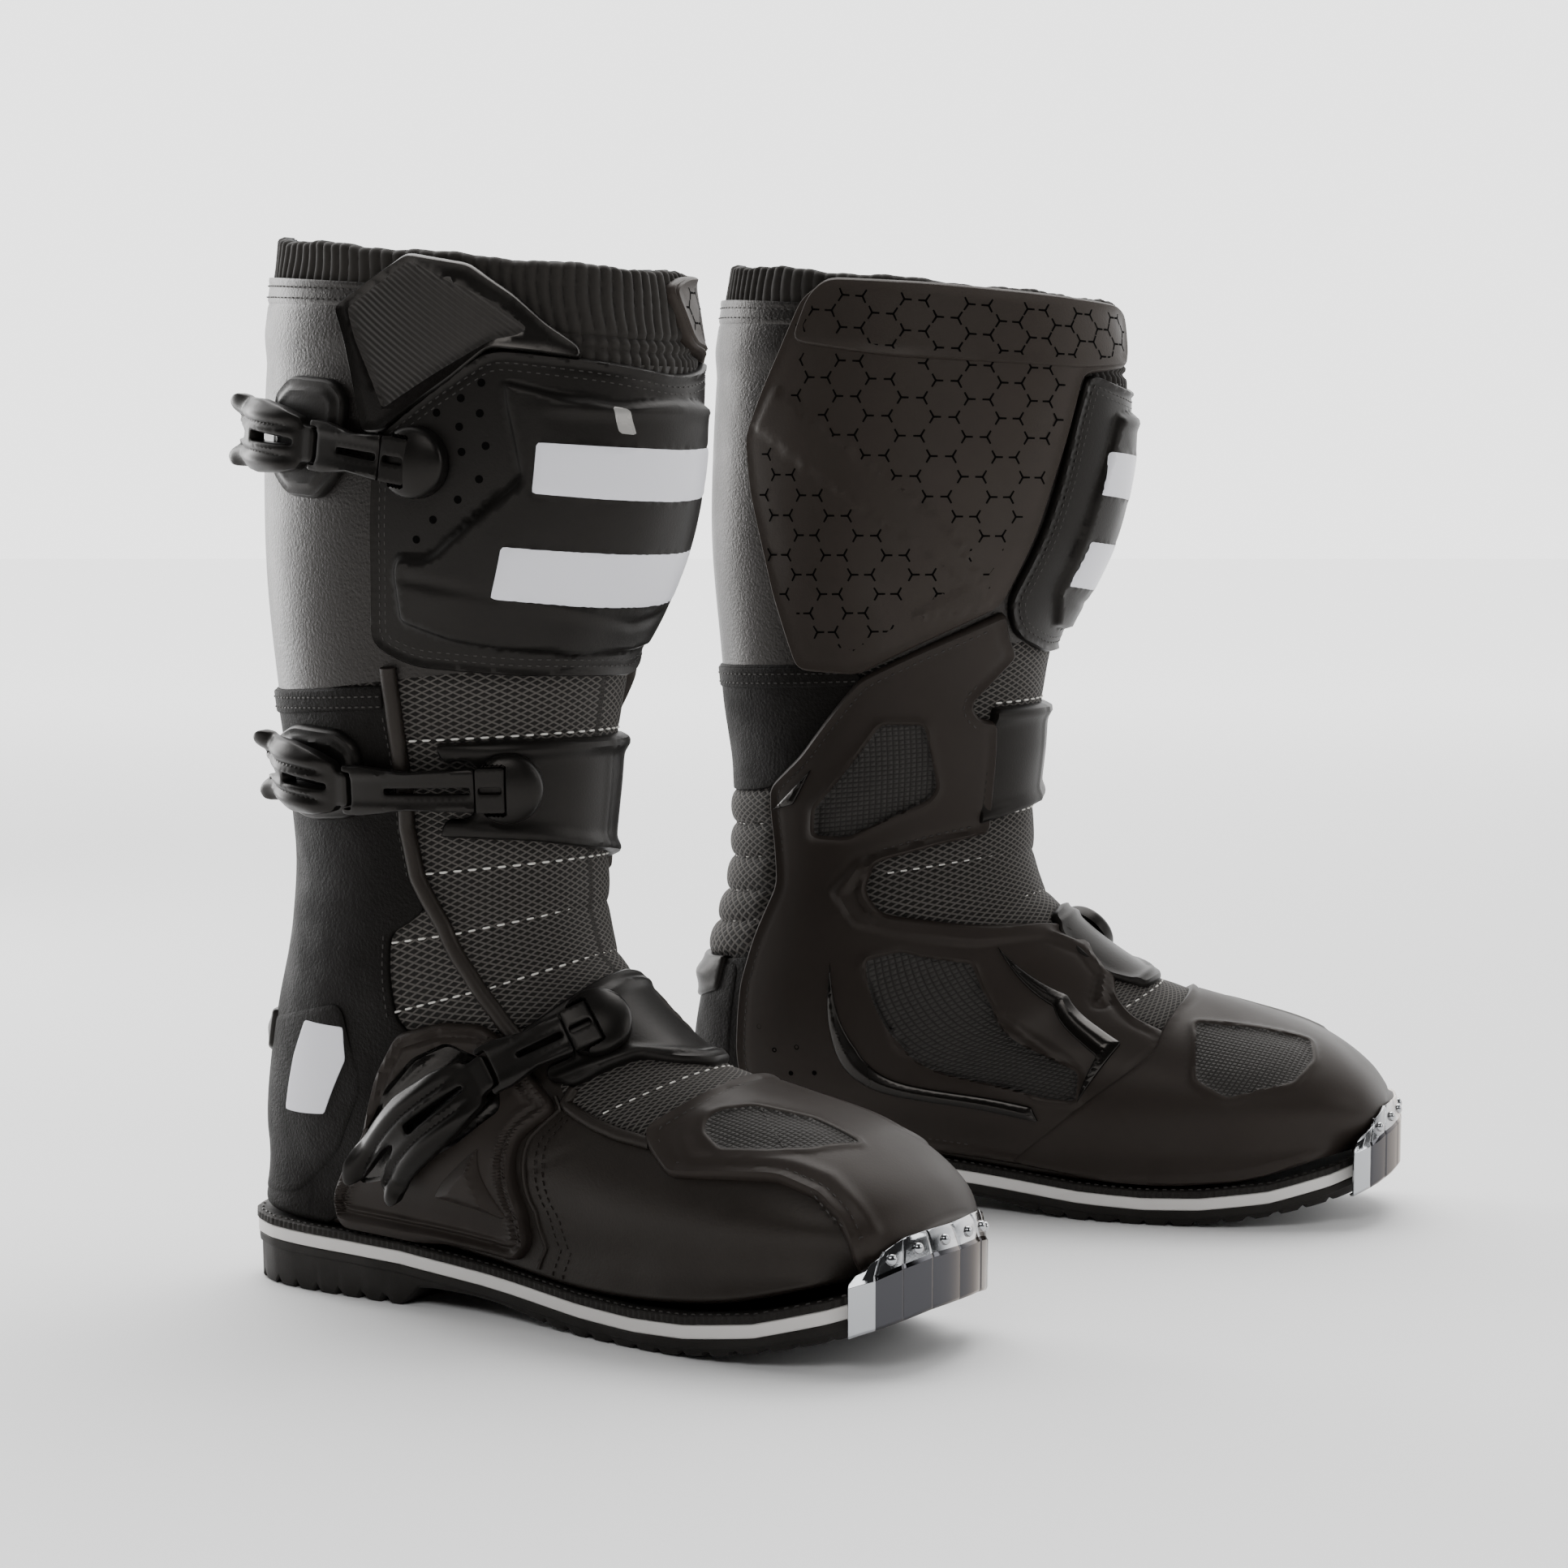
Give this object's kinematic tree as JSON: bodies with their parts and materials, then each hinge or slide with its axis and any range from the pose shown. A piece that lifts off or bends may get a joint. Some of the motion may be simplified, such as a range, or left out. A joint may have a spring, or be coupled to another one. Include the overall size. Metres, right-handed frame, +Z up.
{
  "type": "pair of riding boots",
  "caption": "Pair of tall buckled riding boots with armoured shin, ankle and calf guards, flexible ankles, opening strap buckles and a metal toe cap.",
  "frame": {"origin": "middle of the space the pair stands on, at floor level, centred on the bounding box", "axes": "+Z up; +X runs roughly along the boots towards the toes and along the longest extent; -Y is the outer side of the right boot; the right boot is turned 33.4 degrees and the left boot 10.2 degrees from +X towards -Y"},
  "size_m": [0.4728, 0.4034, 0.4012],
  "materials": {
    "outsole": "matt black moulded rubber",
    "welt": "dark grey stitched welt with a white stripe below",
    "insole": "grey knitted cover",
    "leather": "black grained leather, semi-matt",
    "toe_cap": "bright faceted metal",
    "guard_leather": "black coated leather, low gloss",
    "guard": "black moulded polyurethane, satin",
    "gloss_guard": "black moulded plate, glossy with white bars",
    "grip": "black calf grip leather with embossed cells",
    "stretch_mesh": "black coated mesh on elastic",
    "collar": "black ribbed elastic",
    "anchor": "black satin screw head",
    "strap": "black moulded strap",
    "lever": "black enamelled lever"
  },
  "bodies": {
    "r_foot": {"r_outsole": "outsole", "r_welt": "welt", "r_insole": "insole", "r_foot_shell": "leather", "r_toe_cap": "toe_cap", "r_toe_guard": "guard_leather", "r_heel_counter": "leather", "r_ankle_guard": "guard", "r_medial_guard": "guard", "r_instep_band": "guard", "r_lower_anchor": "anchor", "r_front_bellows": "stretch_mesh", "r_rear_bellows": "leather"},
    "r_shaft": {"r_shaft_shell": "leather", "r_collar": "collar", "r_closure_flap": "guard", "r_shin_plate": "gloss_guard", "r_heat_guard": "grip", "r_medial_calf_guard": "guard", "r_mid_band": "guard", "r_upper_buckle_base": "guard", "r_mid_buckle_base": "guard", "r_upper_anchor": "anchor", "r_mid_anchor": "anchor"},
    "r_upper_strap": {"r_upper_strap": "strap"},
    "r_upper_lever": {"r_upper_lever": "lever"},
    "r_mid_strap": {"r_mid_strap": "strap"},
    "r_mid_lever": {"r_mid_lever": "lever"},
    "r_lower_strap": {"r_lower_strap": "strap"},
    "r_lower_lever": {"r_lower_lever": "lever"},
    "l_foot": {"l_outsole": "outsole", "l_welt": "welt", "l_insole": "insole", "l_foot_shell": "leather", "l_toe_cap": "toe_cap", "l_toe_guard": "guard_leather", "l_heel_counter": "leather", "l_ankle_guard": "guard", "l_medial_guard": "guard", "l_instep_band": "guard", "l_lower_anchor": "anchor", "l_front_bellows": "stretch_mesh", "l_rear_bellows": "leather"},
    "l_shaft": {"l_shaft_shell": "leather", "l_collar": "collar", "l_closure_flap": "guard", "l_shin_plate": "gloss_guard", "l_heat_guard": "grip", "l_medial_calf_guard": "guard", "l_mid_band": "guard", "l_upper_buckle_base": "guard", "l_mid_buckle_base": "guard", "l_upper_anchor": "anchor", "l_mid_anchor": "anchor"},
    "l_upper_strap": {"l_upper_strap": "strap"},
    "l_upper_lever": {"l_upper_lever": "lever"},
    "l_mid_strap": {"l_mid_strap": "strap"},
    "l_mid_lever": {"l_mid_lever": "lever"},
    "l_lower_strap": {"l_lower_strap": "strap"},
    "l_lower_lever": {"l_lower_lever": "lever"}
  },
  "joints": [
    {"name": "r_ankle_flex", "type": "hinge", "parent": "r_foot", "child": "r_shaft", "pos_m": [-0.15962, -0.05459, 0.125], "axis": [0.5505, 0.8348, 0], "range_deg": [-8, 18], "stiffness_Nm_per_rad": 20, "deforming": ["r_front_bellows", "r_rear_bellows"]},
    {"name": "r_upper_strap_turn", "type": "hinge", "parent": "r_shaft", "child": "r_upper_strap", "pos_m": [-0.17717, -0.12837, 0.31845], "axis": [0.1211, -0.0928, 0.9883], "range_deg": [0, 70]},
    {"name": "r_upper_lever_turn", "type": "hinge", "parent": "r_upper_strap", "child": "r_upper_lever", "pos_m": [-0.20181, -0.11111, 0.32298], "axis": [0.0929, -0.0803, 0.9924], "range_deg": [0, 90]},
    {"name": "r_mid_strap_turn", "type": "hinge", "parent": "r_shaft", "child": "r_mid_strap", "pos_m": [-0.14545, -0.1199, 0.19743], "axis": [-0.0302, -0.1042, 0.9941], "range_deg": [0, 70]},
    {"name": "r_mid_lever_turn", "type": "hinge", "parent": "r_mid_strap", "child": "r_mid_lever", "pos_m": [-0.19216, -0.10209, 0.19634], "axis": [0.0199, -0.1753, 0.9843], "range_deg": [0, 90]},
    {"name": "r_lower_strap_turn", "type": "hinge", "parent": "r_foot", "child": "r_lower_strap", "pos_m": [-0.11172, -0.12787, 0.10879], "axis": [-0.4031, 0.4227, 0.8117], "range_deg": [0, 70]},
    {"name": "r_lower_lever_turn", "type": "hinge", "parent": "r_lower_strap", "child": "r_lower_lever", "pos_m": [-0.13917, -0.12425, 0.09508], "axis": [-0.5132, 0.3307, 0.792], "range_deg": [0, 90]},
    {"name": "l_ankle_flex", "type": "hinge", "parent": "l_foot", "child": "l_shaft", "pos_m": [0.01103, 0.13024, 0.125], "axis": [0.1771, 0.9842, 0], "range_deg": [-8, 18], "stiffness_Nm_per_rad": 20, "deforming": ["l_front_bellows", "l_rear_bellows"]},
    {"name": "l_upper_strap_turn", "type": "hinge", "parent": "l_shaft", "child": "l_upper_strap", "pos_m": [0.0492, 0.19577, 0.31845], "axis": [-0.1517, 0.0163, -0.9883], "range_deg": [0, 70]},
    {"name": "l_upper_lever_turn", "type": "hinge", "parent": "l_upper_strap", "child": "l_upper_lever", "pos_m": [0.01946, 0.20026, 0.32298], "axis": [-0.1226, 0.0059, -0.9924], "range_deg": [0, 90]},
    {"name": "l_mid_strap_turn", "type": "hinge", "parent": "l_shaft", "child": "l_mid_strap", "pos_m": [0.06634, 0.16776, 0.19743], "axis": [-0.05, -0.0963, -0.9941], "range_deg": [0, 70]},
    {"name": "l_mid_lever_turn", "type": "hinge", "parent": "l_mid_strap", "child": "l_mid_lever", "pos_m": [0.02022, 0.18708, 0.19634], "axis": [-0.1353, -0.1132, -0.9843], "range_deg": [0, 90]},
    {"name": "l_lower_strap_turn", "type": "hinge", "parent": "l_foot", "child": "l_lower_strap", "pos_m": [0.09625, 0.15027, 0.10879], "axis": [0.5834, 0.0281, -0.8117], "range_deg": [0, 70]},
    {"name": "l_lower_lever_turn", "type": "hinge", "parent": "l_lower_strap", "child": "l_lower_lever", "pos_m": [0.07388, 0.16658, 0.09508], "axis": [0.5997, -0.1144, -0.792], "range_deg": [0, 90]},
    {"name": "pair_apart", "type": "slide", "parent": "r_foot", "child": "l_foot", "axis": [0, 1, 0], "range_m": [0, 0.1]}
  ]
}
